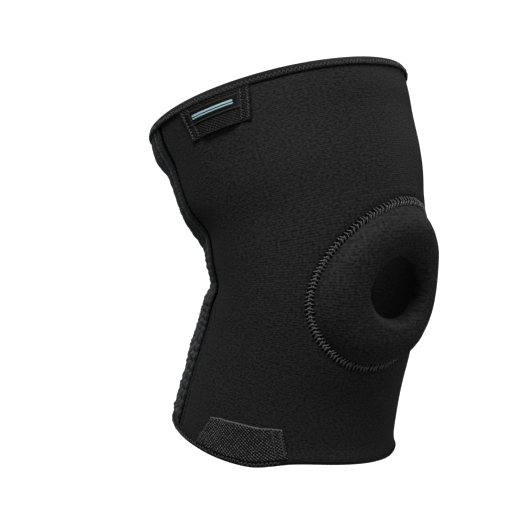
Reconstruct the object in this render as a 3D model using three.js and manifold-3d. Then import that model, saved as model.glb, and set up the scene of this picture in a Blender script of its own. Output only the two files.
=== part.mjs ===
// An open-patella knee sleeve, in the form that it has on a slightly bent right leg.
// Millimetres and degrees. +Z is up, the kneecap faces -Y and the wearer's outer side is -X.
// The origin is the middle of the knee, on the line along which the leg runs.
import * as THREE from 'three';
import { mergeVertices } from 'three/addons/utils/BufferGeometryUtils.js';
import Module from 'manifold-3d';

const wasm = await Module();
wasm.setup();

// Sizes of the worn sleeve
const THIGH_LENGTH = 131; // from the knee to the top edge, along the leg
const CALF_LENGTH = 117; // from the knee to the bottom edge, down the back of the leg
const THIGH_LEAN = 19; // how far the thigh leans back, going up
const CALF_LEAN = 19; // how far the calf leans back, going down
const FRONT_RAISE = 19; // how much higher the bottom edge is at the front than at the back
const FOLD_DEPTH = 4; // of the deepest fold that the bent knee presses in
const BEND_RADIUS = 130; // of the leg's line through the knee
const THIGH_RADIUS = 87; // outside the sleeve's top edge
const KNEE_RADIUS = 73; // outside the sleeve behind the knee
const CALF_RADIUS = 77; // outside the sleeve's bottom edge
const WALL = 4; // neoprene with its knitted faces
const CLEARANCE = 0.3; // between neighbouring pieces
const SEAM_GAP = 0.6; // between the neoprene's edges and the panels that are sewn into it

// Sizes of the kneecap pad, as the front view shows it
const PAD = { radius: 55.5, height: 4, aside: 1, lean: 8 }; // lean of its top to the inner side
const HOLE = { halfWidth: 25, halfHeight: 21, height: 1.5, aside: 3.5 }; // aside to the inner side
const PAD_RISE = 9; // of the stuffed ring, above the sleeve's face
const LIP_WIDTH = 9; // over which the ring rounds into the hole
const LIP_EDGE = 1; // thickness of the rounded edge at its thinnest

// Sizes of the back panel
const RIB_PITCH = 6.5; // of the gathered ribs, along the leg
const RIB_HEIGHT = 1.8; // of the ribs over the calf
const SEAM_MARGIN = 9; // left flat at each end for the bindings

// Sizes of the edge bindings
const BINDING_THICKNESS = 1.2;
const TOP_BINDING_HEIGHT = 5;
const BOTTOM_BINDING_HEIGHT = 3.5;

// Sizes of the pull tabs and the label. A tab's width is taken at its edge near the sleeve's end
// and at its free edge.
const TAB_THICKNESS = 1.5;
const UPPER_TAB = { angle: -76.5, height: 22, width: 57, freeWidth: 48, past: 0 };
const LOWER_TAB = { angle: -69, height: 21, width: 66, freeWidth: 52, past: 0 };
const LABEL = { angle: -77.5, height: 10, width: 44, freeWidth: 43, past: 2.5 };
const LABEL_THICKNESS = 0.6;

// Cross sections along the leg. `at` is the share of the thigh's length above the knee, or of the
// calf's length below it. side, front and back are shares of the named radius. `seam` is the angle
// from the front to the back panel, in degrees, and `rib` the share of the ribs' height.
const RADII = { thigh: THIGH_RADIUS, knee: KNEE_RADIUS, calf: CALF_RADIUS };
const SECTIONS = [
  { at: -1.0, of: 'calf', side: 1.0, front: 0.92, back: 1.02, seam: 118, rib: 1.0 },
  { at: -0.9, of: 'calf', side: 1.0, front: 0.91, back: 1.02, seam: 118, rib: 1.0 },
  { at: -0.55, of: 'calf', side: 0.97, front: 0.83, back: 1.02, seam: 118, rib: 1.0 },
  { at: -0.28, of: 'knee', side: 1.0, front: 0.89, back: 1.07, seam: 117, rib: 0.9 },
  { at: -0.11, of: 'knee', side: 1.0, front: 0.95, back: 1.04, seam: 116, rib: 0.7 },
  { at: 0.0, of: 'knee', side: 1.0, front: 1.0, back: 0.98, seam: 115, rib: 0.6 },
  { at: 0.15, of: 'knee', side: 1.01, front: 1.07, back: 0.98, seam: 114, rib: 0.6 },
  { at: 0.3, of: 'knee', side: 1.03, front: 1.16, back: 0.97, seam: 114, rib: 0.5 },
  { at: 0.5, of: 'thigh', side: 0.94, front: 1.01, back: 0.92, seam: 114, rib: 0.4 },
  { at: 0.75, of: 'thigh', side: 0.98, front: 1.02, back: 0.97, seam: 114, rib: 0.3 },
  { at: 0.87, of: 'thigh', side: 0.99, front: 1.04, back: 1.09, seam: 114, rib: 0.3 },
  { at: 1.0, of: 'thigh', side: 1.0, front: 1.03, back: 1.08, seam: 114, rib: 0.3 },
];

// The bottom edge around the leg, in degrees from the front. `raise` is the share of FRONT_RAISE.
const BOTTOM_EDGE = [
  { angle: -180, raise: 0 },
  { angle: -115, raise: 0.16 },
  { angle: -62, raise: 0.37 },
  { angle: -38, raise: 0.87 },
  { angle: -15, raise: 1 },
  { angle: 20, raise: 0.95 },
  { angle: 60, raise: 0.8 },
  { angle: 115, raise: 0.26 },
  { angle: 180, raise: 0 },
];

// Folds that the bent knee presses into the sleeve. `depth` is a share of FOLD_DEPTH, `tall`, along
// the leg, a share of KNEE_RADIUS, and `wide` is in degrees around the leg.
const FOLDS = [
  { at: 0.38, angle: -122, depth: 1, tall: 0.15, wide: 18 },
  { at: 0.36, angle: 121, depth: 0.75, tall: 0.15, wide: 18 },
  { at: 0.02, angle: -122, depth: 0.5, tall: 0.14, wide: 18 },
  { at: 0.0, angle: 122, depth: 0.6, tall: 0.14, wide: 18 },
  { at: 0.12, angle: 180, depth: 1, tall: 0.12, wide: 36 },
  { at: -0.17, angle: 176, depth: 0.75, tall: 0.12, wide: 30 },
];

const radians = THREE.MathUtils.degToRad;

// Where a share along the leg lies on its line, in millimetres from the knee.
function alongLeg(share) {
  return share * (share > 0 ? THIGH_LENGTH : CALF_LENGTH);
}

// A smooth curve through the values at rising places.
function smoothCurve(places, values, at) {
  const last = places.length - 1;
  let k = 0;
  while (k < last - 1 && at > places[k + 1]) k += 1;
  const slope = (i) => {
    const before = Math.max(i - 1, 0);
    const after = Math.min(i + 1, last);
    return (values[after] - values[before]) / (places[after] - places[before]);
  };
  const span = places[k + 1] - places[k];
  const t = THREE.MathUtils.clamp((at - places[k]) / span, 0, 1);
  const rising = t * t * (3 - 2 * t);
  return (
    values[k] * (1 - rising) +
    values[k + 1] * rising +
    slope(k) * span * t * (1 - t) * (1 - t) -
    slope(k + 1) * span * t * t * (1 - t)
  );
}

const sectionPlaces = SECTIONS.map((row) => alongLeg(row.at));

// One column of the sections' table, at a distance along the leg.
function readSection(along, column) {
  return smoothCurve(sectionPlaces, SECTIONS.map(column), along);
}

// The leg's line: an arc through the knee between the straight thigh and the straight calf.
function legLine(along) {
  const lean = THREE.MathUtils.clamp(
    along / BEND_RADIUS,
    -radians(CALF_LEAN),
    radians(THIGH_LEAN),
  );
  const straight = along - lean * BEND_RADIUS;
  return {
    lean,
    y: BEND_RADIUS * (1 - Math.cos(lean)) + straight * Math.sin(lean),
    z: BEND_RADIUS * Math.sin(lean) + straight * Math.cos(lean),
  };
}

// How deep the folds are at a place.
function foldDepth(angle, along) {
  let depth = 0;
  for (const fold of FOLDS) {
    const around = THREE.MathUtils.euclideanModulo(angle - fold.angle + 180, 360) - 180;
    const up = along - alongLeg(fold.at);
    const tall = fold.tall * KNEE_RADIUS;
    depth += fold.depth * Math.exp(-((around / fold.wide) ** 2) - (up / tall) ** 2);
  }
  return depth * FOLD_DEPTH;
}

// A point of the sleeve's outer face. The angle runs from 0 at the front to 90 at +X.
function facePoint(angle, along) {
  const line = legLine(along);
  const radius = (name) =>
    readSection(along, (row) => row[name] * RADII[row.of]);
  const forward = Math.cos(radians(angle));
  const depth = foldDepth(angle, along);
  const reach = forward * (radius(forward > 0 ? 'front' : 'back') - depth);
  return new THREE.Vector3(
    (radius('side') - depth) * Math.sin(radians(angle)),
    line.y - reach * Math.cos(line.lean),
    line.z + reach * Math.sin(line.lean),
  );
}

// Where the sleeve's top edge, when end is 1, or its bottom edge, when end is -1, runs at an angle.
function edgeAlong(end, angle) {
  if (end > 0) return THIGH_LENGTH;
  const around = THREE.MathUtils.euclideanModulo(angle + 180, 360) - 180;
  const angles = BOTTOM_EDGE.map((row) => row.angle);
  const raises = BOTTOM_EDGE.map((row) => row.raise);
  return FRONT_RAISE * smoothCurve(angles, raises, around) - CALF_LENGTH;
}

// Where along the leg a share of the way from the bottom edge to the top edge is, at an angle.
function betweenEdges(angle, share) {
  return THREE.MathUtils.lerp(edgeAlong(-1, angle), edgeAlong(1, angle), share);
}

// The angle from the front to the back panel, at a share of the way from the bottom to the top.
function seamAngle(share) {
  const along = THREE.MathUtils.lerp(-CALF_LENGTH, THIGH_LENGTH, share);
  return readSection(along, (row) => row.seam);
}

// The outward direction of the sleeve's face.
function faceNormal(angle, along) {
  const step = 0.5;
  const around = facePoint(angle + step, along).sub(facePoint(angle - step, along));
  const up = facePoint(angle, along + step).sub(facePoint(angle, along - step));
  return around.cross(up).normalize();
}

// A point off the sleeve's face, by a distance along its normal.
function offFace(angle, along, distance) {
  return facePoint(angle, along).addScaledVector(faceNormal(angle, along), distance);
}

// A closed solid between an outer and an inner sheet of columns by rows of points.
// pair(u, v) gives the two points, for u and v from 0 to 1. A ring has its last column at its first.
function slab(columns, rows, pair, ring = false) {
  const across = ring ? columns : columns + 1;
  const positions = [];
  for (let i = 0; i < across; i += 1) {
    for (let j = 0; j <= rows; j += 1) {
      const { outer, inner } = pair(i / columns, j / rows);
      positions.push(...outer.toArray(), ...inner.toArray());
    }
  }
  const vertex = (i, j, side) => 2 * ((i % across) * (rows + 1) + j) + side;
  const index = [];
  const quad = (a, b, c, d) => index.push(a, b, c, a, c, d);
  for (let i = 0; i < columns; i += 1) {
    for (let j = 0; j < rows; j += 1) {
      quad(vertex(i, j, 0), vertex(i + 1, j, 0), vertex(i + 1, j + 1, 0), vertex(i, j + 1, 0));
      quad(vertex(i, j, 1), vertex(i, j + 1, 1), vertex(i + 1, j + 1, 1), vertex(i + 1, j, 1));
    }
    quad(vertex(i, 0, 0), vertex(i, 0, 1), vertex(i + 1, 0, 1), vertex(i + 1, 0, 0));
    quad(vertex(i, rows, 0), vertex(i + 1, rows, 0), vertex(i + 1, rows, 1), vertex(i, rows, 1));
  }
  for (let j = 0; j < rows && !ring; j += 1) {
    quad(vertex(0, j, 0), vertex(0, j + 1, 0), vertex(0, j + 1, 1), vertex(0, j, 1));
    quad(
      vertex(columns, j, 0),
      vertex(columns, j, 1),
      vertex(columns, j + 1, 1),
      vertex(columns, j + 1, 0),
    );
  }
  return solidGeometry(positions, index);
}

// A geometry whose faces point out, whichever way its points were listed.
function solidGeometry(positions, index) {
  const point = (k) => new THREE.Vector3().fromArray(positions, 3 * k);
  let volume = 0;
  for (let k = 0; k < index.length; k += 3) {
    volume += point(index[k]).dot(point(index[k + 1]).cross(point(index[k + 2])));
  }
  const geometry = new THREE.BufferGeometry();
  geometry.setAttribute('position', new THREE.Float32BufferAttribute(positions, 3));
  geometry.setIndex(volume < 0 ? index.reverse() : index);
  return geometry;
}

// Booleans
function toManifold(geometry) {
  const bare = new THREE.BufferGeometry();
  bare.setAttribute('position', geometry.getAttribute('position'));
  bare.setIndex(geometry.getIndex());
  const merged = mergeVertices(bare);
  return new wasm.Manifold(
    new wasm.Mesh({
      numProp: 3,
      vertProperties: merged.attributes.position.array,
      triVerts: new Uint32Array(merged.index.array),
    }),
  );
}

function toGeometry(manifold) {
  const mesh = manifold.getMesh();
  const geometry = new THREE.BufferGeometry();
  geometry.setAttribute('position', new THREE.BufferAttribute(mesh.vertProperties, mesh.numProp));
  geometry.setIndex(new THREE.BufferAttribute(mesh.triVerts, 1));
  return geometry;
}

// The place on the sleeve's face, as an angle and a distance along the leg, that has this x and z.
function frontPlace(x, z) {
  const turns = 24;
  const share = 0.65;
  let along = z;
  let angle = 0;
  for (let k = 0; k < turns; k += 1) {
    const side = readSection(along, (row) => row.side * RADII[row.of]);
    angle = THREE.MathUtils.radToDeg(Math.asin(THREE.MathUtils.clamp(x / side, -1, 1)));
    along += share * (z - facePoint(angle, along).z);
  }
  return { angle, along };
}

// A point off the face, by a turn about the pad's middle and a share of the way from the hole to
// the pad's seam, as the front view shows them.
function padPoint(turn, share, distance) {
  const across = Math.cos(turn);
  const up = Math.sin(turn);
  const lean = Math.tan(radians(PAD.lean));
  const hole = new THREE.Vector2(
    HOLE.aside + HOLE.halfWidth * across,
    HOLE.height + HOLE.halfHeight * up,
  );
  const seam = new THREE.Vector2(
    PAD.aside + PAD.radius * (across + lean * up),
    PAD.height + PAD.radius * up,
  );
  const seen = hole.lerp(seam, share);
  const place = frontPlace(seen.x, seen.y);
  return offFace(place.angle, place.along, distance);
}

// The round tool that opens the sleeve for the pad. Its wall follows the pad's edge closely between
// the levels next to the sleeve's faces.
function padOpening(columns) {
  const reach = 30;
  const levels = [-reach, -WALL - 1, -WALL / 2, 1, reach];
  const share = 1 + SEAM_GAP / PAD_RING;
  const positions = [];
  const middles = [];
  for (const level of levels) {
    const middle = new THREE.Vector3();
    for (let k = 0; k < columns; k += 1) {
      const point = padPoint((2 * Math.PI * k) / columns, share, level);
      positions.push(...point.toArray());
      middle.addScaledVector(point, 1 / columns);
    }
    middles.push(middle);
  }
  positions.push(...middles[0].toArray(), ...middles.at(-1).toArray());
  const top = (levels.length - 1) * columns;
  const lowMiddle = levels.length * columns;
  const index = [];
  for (let k = 0; k < columns; k += 1) {
    const next = (k + 1) % columns;
    index.push(k, next, lowMiddle);
    index.push(top + next, top + k, lowMiddle + 1);
    for (let ring = 0; ring < top; ring += columns) {
      index.push(ring + next, ring + k, ring + columns + k);
      index.push(ring + next, ring + columns + k, ring + columns + next);
    }
  }
  return solidGeometry(positions, index);
}

const PAD_COLUMNS = 36;
const PAD_RING = PAD.radius - HOLE.halfWidth;
const BODY_COLUMNS = 36;
const PANEL_COLUMNS = 10;

// The tube round the front and the sides, with the round opening for the pad.
function neopreneBody() {
  const rows = 28;
  const sheet = slab(BODY_COLUMNS, rows, (u, v) => {
    const angle = seamAngle(v) * (2 * u - 1);
    const along = betweenEdges(angle, v);
    return { outer: offFace(angle, along, 0), inner: offFace(angle, along, -WALL) };
  });
  return toGeometry(toManifold(sheet).subtract(toManifold(padOpening(PAD_COLUMNS))));
}

// How high the pad's face stands above the sleeve's, from the hole at 0 to the seam at 1.
function padRise(share) {
  const lip = LIP_WIDTH / PAD_RING;
  const low = -WALL / 2 + LIP_EDGE / 2;
  if (share < lip) {
    const t = 1 - share / lip;
    return low + (PAD_RISE - low) * Math.sqrt(1 - t * t);
  }
  const t = (share - lip) / (1 - lip);
  return PAD_RISE * (1 - t * t * t);
}

// How far the pad's inner face lies behind the sleeve's face.
function padInside(share) {
  const lip = LIP_WIDTH / PAD_RING;
  const low = -WALL / 2 - LIP_EDGE / 2;
  if (share < lip) {
    const t = 1 - share / lip;
    return low - (WALL + low) * Math.sqrt(1 - t * t);
  }
  return -WALL;
}

// The stuffed ring, whose rows crowd towards the rounded edge of the hole.
function kneecapPad() {
  const rows = 10;
  const crowding = 0.6;
  return slab(
    PAD_COLUMNS,
    rows,
    (u, v) => {
      const share = THREE.MathUtils.lerp(v, v * v, crowding);
      const turn = 2 * Math.PI * u;
      return {
        outer: padPoint(turn, share, padRise(share)),
        inner: padPoint(turn, share, padInside(share)),
      };
    },
    true,
  );
}

// The gathered panel behind the knee. Each rib is a crest between two hollows.
function backPanel() {
  const ribs = Math.round((CALF_LENGTH + THIGH_LENGTH - 2 * SEAM_MARGIN) / RIB_PITCH);
  const rowsPerRib = 2;
  const gap = THREE.MathUtils.radToDeg(SEAM_GAP / KNEE_RADIUS);
  return slab(PANEL_COLUMNS, ribs * rowsPerRib, (u, v) => {
    const half = 180 - seamAngle(v) - gap;
    const angle = 180 + half * (2 * u - 1);
    const along = betweenEdges(angle, v);
    const inset = Math.min(along - betweenEdges(angle, 0), betweenEdges(angle, 1) - along);
    const fade = THREE.MathUtils.smoothstep(inset, SEAM_MARGIN - 1, SEAM_MARGIN + RIB_PITCH);
    const height = RIB_HEIGHT * fade * readSection(along, (row) => row.rib);
    const wave = Math.max(0, Math.sin(((v * ribs) % 1) * Math.PI));
    return {
      outer: offFace(angle, along, height * wave),
      inner: offFace(angle, along, -WALL),
    };
  });
}

// Angles around one end of the sleeve that fall on the columns of the body and of the back panel.
function girthAngle(end, share) {
  const seam = seamAngle(end > 0 ? 1 : 0);
  const column = share * (BODY_COLUMNS + PANEL_COLUMNS);
  if (column <= BODY_COLUMNS) return seam * ((2 * column) / BODY_COLUMNS - 1);
  return seam + ((360 - 2 * seam) * (column - BODY_COLUMNS)) / PANEL_COLUMNS;
}

// A tape folded over the top edge, when end is 1, or over the bottom edge, when end is -1.
function binding(end, height) {
  const near = CLEARANCE;
  const far = CLEARANCE + BINDING_THICKNESS;
  // Each row pairs a point of the tape's outside with one of its inside. `off` is the distance off
  // the sleeve's face and `past` the distance past its edge.
  const path = [
    { outer: { off: far, past: -height }, inner: { off: near, past: -height } },
    { outer: { off: far, past: near }, inner: { off: near, past: near } },
    { outer: { off: 0, past: far }, inner: { off: 0, past: near } },
    { outer: { off: -WALL, past: far }, inner: { off: -WALL, past: near } },
    { outer: { off: -WALL - far, past: near }, inner: { off: -WALL - near, past: near } },
    { outer: { off: -WALL - far, past: -height }, inner: { off: -WALL - near, past: -height } },
  ];
  return slab(
    BODY_COLUMNS + PANEL_COLUMNS,
    path.length - 1,
    (u, v) => {
      const angle = girthAngle(end, u);
      const row = path[Math.round(v * (path.length - 1))];
      const place = ({ off, past }) => offFace(angle, edgeAlong(end, angle) + end * past, off);
      return { outer: place(row.outer), inner: place(row.inner) };
    },
    true,
  );
}

// A patch on the sleeve's face below the top edge, when end is 1, or above the bottom edge, when end
// is -1. It begins at a distance `from` inside the edge, and lies at a height `off` above the face.
function patch(end, { angle, height, width, freeWidth, past }, from, off, thickness, columns) {
  const rows = 3;
  const middle = edgeAlong(end, angle) - end * (from + past + height / 2);
  const perDegree = facePoint(angle + 1, middle).distanceTo(facePoint(angle, middle));
  return slab(columns, rows, (u, v) => {
    const half = THREE.MathUtils.lerp(width, freeWidth, v) / perDegree / 2;
    const at = angle + half * (2 * u - 1);
    const along = edgeAlong(end, at) - end * (from + past + height * v);
    return { outer: offFace(at, along, off + thickness), inner: offFace(at, along, off) };
  });
}

function mesh(name, geometry, color, roughness) {
  const material = new THREE.MeshStandardMaterial({ color, roughness, metalness: 0 });
  const made = new THREE.Mesh(geometry, material);
  made.name = name;
  return made;
}

const underTopBinding = TOP_BINDING_HEIGHT + CLEARANCE;
const overBottomBinding = BOTTOM_BINDING_HEIGHT + CLEARANCE;

const sleeve = new THREE.Group();
sleeve.add(mesh('neoprene_body', neopreneBody(), 0x1b1b1c, 0.85));
sleeve.add(mesh('kneecap_pad', kneecapPad(), 0x1e1e1f, 0.85));
sleeve.add(mesh('back_panel', backPanel(), 0x2a2c2d, 0.8));
sleeve.add(mesh('top_binding', binding(1, TOP_BINDING_HEIGHT), 0x141415, 0.7));
sleeve.add(mesh('bottom_binding', binding(-1, BOTTOM_BINDING_HEIGHT), 0x141415, 0.7));
sleeve.add(
  mesh(
    'upper_pull_tab',
    patch(1, UPPER_TAB, underTopBinding, CLEARANCE, TAB_THICKNESS, 8),
    0x202021,
    0.9,
  ),
);
sleeve.add(
  mesh(
    'lower_pull_tab',
    patch(-1, LOWER_TAB, overBottomBinding, CLEARANCE, TAB_THICKNESS, 8),
    0x2c2c2d,
    0.9,
  ),
);
sleeve.add(
  mesh(
    'label',
    patch(1, LABEL, underTopBinding, 2 * CLEARANCE + TAB_THICKNESS, LABEL_THICKNESS, 6),
    0x0e0f12,
    0.6,
  ),
);

export default sleeve;
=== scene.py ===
"""A black pull-on knee sleeve with a padded opening, in the slightly bent form that it is worn in.

Sizes are millimetres and degrees until a mesh is made. A place on the sleeve is an angle round it,
from 0 at the front to 90 on the inner side, and a distance along it from the knee. Each soft piece
is one closed section that is swept along its stations.
"""
import math

import bpy
import numpy as np
from mathutils import Matrix, Vector


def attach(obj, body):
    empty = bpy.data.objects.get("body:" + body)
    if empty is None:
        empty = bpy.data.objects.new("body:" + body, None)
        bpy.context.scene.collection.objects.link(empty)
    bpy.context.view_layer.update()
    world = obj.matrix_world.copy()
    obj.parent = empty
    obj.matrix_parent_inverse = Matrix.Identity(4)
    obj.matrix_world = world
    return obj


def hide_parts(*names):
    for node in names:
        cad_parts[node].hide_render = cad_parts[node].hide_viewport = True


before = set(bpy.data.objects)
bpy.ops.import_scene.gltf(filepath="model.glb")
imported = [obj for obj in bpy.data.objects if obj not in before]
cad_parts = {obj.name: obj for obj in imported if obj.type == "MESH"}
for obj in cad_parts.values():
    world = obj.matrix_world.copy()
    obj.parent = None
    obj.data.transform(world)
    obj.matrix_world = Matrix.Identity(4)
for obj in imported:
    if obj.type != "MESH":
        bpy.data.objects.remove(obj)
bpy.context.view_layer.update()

MM = 0.001
CLOTH_MAP = "Cloth"

# Sizes of the worn sleeve
THIGH_LENGTH = 131
CALF_LENGTH = 117
THIGH_LEAN = math.radians(19)
CALF_LEAN = math.radians(19)
BEND_RADIUS = 130
FRONT_RAISE = 19  # of the bottom edge at the front, over its back
FOLD_DEPTH = 4
RADII = {"thigh": 87, "knee": 73, "calf": 77}
GIRTH_RADIUS = RADII["knee"]
WALL = 4
CLEARANCE = 0.3
HEM_BULGE = 1.6  # of the bottom edge where it is rolled under
HEM_TURN_OUTER = (-52, -36)  # angles over which the rolling begins
HEM_TURN_INNER = (80, 50)

# Sizes of the kneecap pad, as the front view shows it
PAD_RADIUS = 55.5
PAD_HEIGHT = 4
PAD_ASIDE = 1
PAD_LEAN = math.tan(math.radians(8))
HOLE_HALF_WIDTH = 25
HOLE_HALF_HEIGHT = 21
HOLE_HEIGHT = 1.5
HOLE_ASIDE = 3.5
PAD_RING = PAD_RADIUS - HOLE_HALF_WIDTH
PAD_RISE = 9.3
PAD_CREST = 14  # from the hole to the highest line
PAD_FUNNEL = 3.8  # how far the face sinks from the crest to the lip
PAD_HEM = 2  # flat beside the joint
LIP_WIDTH = 4.5
LIP_EDGE = 1
STUFFING_PRESSURE = 4
STUFFING_FRAMES = 20
STUFFING_CAP = 2.5  # the most that the stuffing moves the cloth

# Sizes of the gathers, the bindings, the tabs and the label
RIB_PITCH = 6.5  # along the sleeve
RIB_HEIGHT = 2.3
RIDGE_PITCH = 7.5  # round the sleeve
RIDGE_HEIGHT = 1.1
SEAM_MARGIN = 9
SEAM_DEPTH = 1.8
PANEL_GAP = 0.06
BINDING_THICKNESS = 1.2
TOP_BINDING_HEIGHT = 5
BOTTOM_BINDING_HEIGHT = 3.5
BOTTOM_TAPE_TUCK = 1.2  # what is hidden of it where the edge is rolled under
BOTTOM_TAPE_GROWTH = 1.8  # how much higher it is behind the lower tab, past these angles
GROWTH_ANGLES = (-94, -106)
TAB_THICKNESS = 1.5
UPPER_TAB = {"end": 1, "angle": -76.5, "from": 5.3, "height": 22, "width": 57, "free_width": 48}
LOWER_TAB = {"end": -1, "angle": -69, "from": 3.8, "height": 21, "width": 66, "free_width": 52}
LOWER_TAB_CROWN = 3.4  # how much straighter its free edge is than the hem
TAB_STRIP = 7.0  # what is sewn down at each end of a tab
TAB_OPEN = 2.0  # how far the free edge stands off between these ends
LABEL = {"end": 1, "angle": -77.5, "from": 7.8, "height": 10, "width": 44, "free_width": 43}
LABEL_THICKNESS = 0.6

# Sizes of the stitching. Pitches are along a seam and threads are radii.
JOINT_GAP = 0.25
JOINT_PITCH = 2.8
JOINT_REACH = 3.2  # of the herringbone's arms to each side
JOINT_SLANT = -0.7  # of an arm, in stitches
JOINT_OVERLAP = 1.1  # of the arms on the middle line
JOINT_HOLE = 1.6  # depth of the cloth between the arms
JOINT_THREAD = 0.37
STITCH_STATIONS = 5  # of the pad's mesh for each stitch
JOINT_SHADE_ROWS = (-1.9, 1.9)  # of the black threads that stand for the shade between the arms (painted shade), from the middle line
JOINT_SHADE_RADIUS = 0.75
HEM_PITCH = 2.8
HEM_THREAD = 0.32
# the seams' chain is black thread that also stands for the shade in their grooves (painted shade)
SEAM_PITCH = 3.2
SEAM_SHADE_RADIUS = 0.8
TAB_ROWS = (1.8, TAB_STRIP)  # from the tab's ends
TAB_PITCH = 1.15
TAB_REACH = 0.9
TAB_THREAD = 0.3

# Cross sections: share of THIGH_LENGTH above the knee or of CALF_LENGTH below it, the radius that
# the next three columns are shares of, side, front and back, the angle of the back panel's seam,
# and the share of the gathers' height
SECTIONS = [
    (-1.0, "calf", 1.0, 0.92, 1.02, 118, 1.0),
    (-0.9, "calf", 1.0, 0.91, 1.02, 118, 1.0),
    (-0.55, "calf", 0.97, 0.83, 1.02, 118, 1.0),
    (-0.28, "knee", 1.0, 0.89, 1.07, 117, 0.9),
    (-0.11, "knee", 1.0, 0.95, 1.04, 116, 0.7),
    (0.0, "knee", 1.0, 1.0, 0.98, 115, 0.6),
    (0.15, "knee", 1.01, 1.07, 0.98, 114, 0.6),
    (0.3, "knee", 1.03, 1.16, 0.97, 114, 0.5),
    (0.5, "thigh", 0.94, 1.01, 0.92, 114, 0.4),
    (0.75, "thigh", 0.98, 1.02, 0.97, 114, 0.3),
    (0.87, "thigh", 0.99, 1.04, 1.09, 114, 0.3),
    (1.0, "thigh", 1.0, 1.03, 1.08, 114, 0.3),
]

# The bottom edge: angle, and share of FRONT_RAISE
BOTTOM_EDGE = [
    (-180, 0),
    (-115, 0.16),
    (-62, 0.37),
    (-38, 0.87),
    (-15, 1),
    (20, 0.95),
    (60, 0.8),
    (115, 0.26),
    (180, 0),
]

# Folds: share of THIGH_LENGTH or CALF_LENGTH, angle, share of FOLD_DEPTH, height as a share of the
# knee's radius, and width in degrees
FOLDS = [
    (0.38, -122, 1, 0.15, 18),
    (0.36, 121, 0.75, 0.15, 18),
    (0.02, -122, 0.5, 0.14, 18),
    (0.0, 122, 0.6, 0.14, 18),
    (0.12, 180, 1, 0.12, 36),
    (-0.17, 176, 0.75, 0.12, 30),
]


# Curves and noise
def smooth_curve(places, values, at):
    """A smooth curve through the values at rising places."""
    places = np.asarray(places, float)
    values = np.asarray(values, float)
    last = len(places) - 1
    k = np.clip(np.searchsorted(places, at, side="left") - 1, 0, last - 1)
    before = np.maximum(np.arange(last + 1) - 1, 0)
    after = np.minimum(np.arange(last + 1) + 1, last)
    slope = (values[after] - values[before]) / (places[after] - places[before])
    span = places[k + 1] - places[k]
    t = np.clip((at - places[k]) / span, 0, 1)
    rising = t * t * (3 - 2 * t)
    level = values[k] * (1 - rising) + values[k + 1] * rising
    return level + span * t * (1 - t) * (slope[k] * (1 - t) - slope[k + 1] * t)


def smoothstep(low, high, at):
    t = np.clip((at - low) / (high - low), 0, 1)
    return t * t * (3 - 2 * t)


def bell(distance, width):
    return np.exp(-((distance / width) ** 2))


def noise(x, y, seed):
    """Smooth noise from -1 to 1, whose cells are one unit wide."""
    size = 64
    table = np.random.default_rng(seed).uniform(-1, 1, (size, size))
    x, y = np.broadcast_arrays(x, y)
    i, j = np.floor(x).astype(int), np.floor(y).astype(int)
    across, up = smoothstep(0, 1, x - i), smoothstep(0, 1, y - j)
    low = table[i % size, j % size] * (1 - across) + table[(i + 1) % size, j % size] * across
    high = table[i % size, (j + 1) % size] * (1 - across)
    high = high + table[(i + 1) % size, (j + 1) % size] * across
    return low * (1 - up) + high * up


# The sleeve's face
def along_sleeve(share):
    """The distance along the sleeve for a share of THIGH_LENGTH or, below 0, of CALF_LENGTH."""
    return share * np.where(np.asarray(share) > 0, THIGH_LENGTH, CALF_LENGTH)


SECTION_PLACES = along_sleeve(np.array([row[0] for row in SECTIONS]))
SECTION_VALUES = {
    "side": [row[2] * RADII[row[1]] for row in SECTIONS],
    "front": [row[3] * RADII[row[1]] for row in SECTIONS],
    "back": [row[4] * RADII[row[1]] for row in SECTIONS],
    "seam": [row[5] for row in SECTIONS],
    "rib": [row[6] for row in SECTIONS],
}


def section(name, along):
    return smooth_curve(SECTION_PLACES, SECTION_VALUES[name], along)


def wrapped(angle):
    """The angle between -180 and 180."""
    return (angle + 180) % 360 - 180


def fold_depth(angle, along):
    depth = 0
    for at, middle, share, tall, wide in FOLDS:
        around = bell(wrapped(angle - middle), wide)
        depth = depth + share * around * bell(along - along_sleeve(at), tall * RADII["knee"])
    return depth * FOLD_DEPTH


def face_point(angle, along):
    """Points of the sleeve's outer face."""
    angle, along = np.broadcast_arrays(np.asarray(angle, float), np.asarray(along, float))
    lean = np.clip(along / BEND_RADIUS, -CALF_LEAN, THIGH_LEAN)
    straight = along - lean * BEND_RADIUS
    line_y = BEND_RADIUS * (1 - np.cos(lean)) + straight * np.sin(lean)
    line_z = BEND_RADIUS * np.sin(lean) + straight * np.cos(lean)
    turn = np.radians(angle)
    depth = fold_depth(angle, along)
    forward = np.cos(turn)
    reach = forward * (np.where(forward > 0, section("front", along), section("back", along)) - depth)
    x = (section("side", along) - depth) * np.sin(turn)
    return np.stack([x, line_y - reach * np.cos(lean), line_z + reach * np.sin(lean)], -1)


def unit(vectors):
    return vectors / np.linalg.norm(vectors, axis=-1, keepdims=True)


def face_normal(angle, along):
    step = 0.5
    around = face_point(angle + step, along) - face_point(angle - step, along)
    up = face_point(angle, along + step) - face_point(angle, along - step)
    return unit(np.cross(around, up))


def off_face(angle, along, distance):
    """Points at a distance off the sleeve's outer face."""
    distance = np.asarray(distance, float)
    return face_point(angle, along) + face_normal(angle, along) * distance[..., None]


def edge_along(end, angle):
    """Where the top edge, when end is 1, or the bottom edge, when end is -1, runs at an angle."""
    if end > 0:
        return np.full(np.shape(angle), float(THIGH_LENGTH))
    angles, shares = zip(*BOTTOM_EDGE)
    return FRONT_RAISE * smooth_curve(angles, shares, wrapped(angle)) - CALF_LENGTH


def seam_angle(share):
    return section("seam", -CALF_LENGTH + share * (CALF_LENGTH + THIGH_LENGTH))


def between_edges(angle, share):
    low, high = edge_along(-1, angle), edge_along(1, angle)
    return low + (high - low) * share


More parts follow.
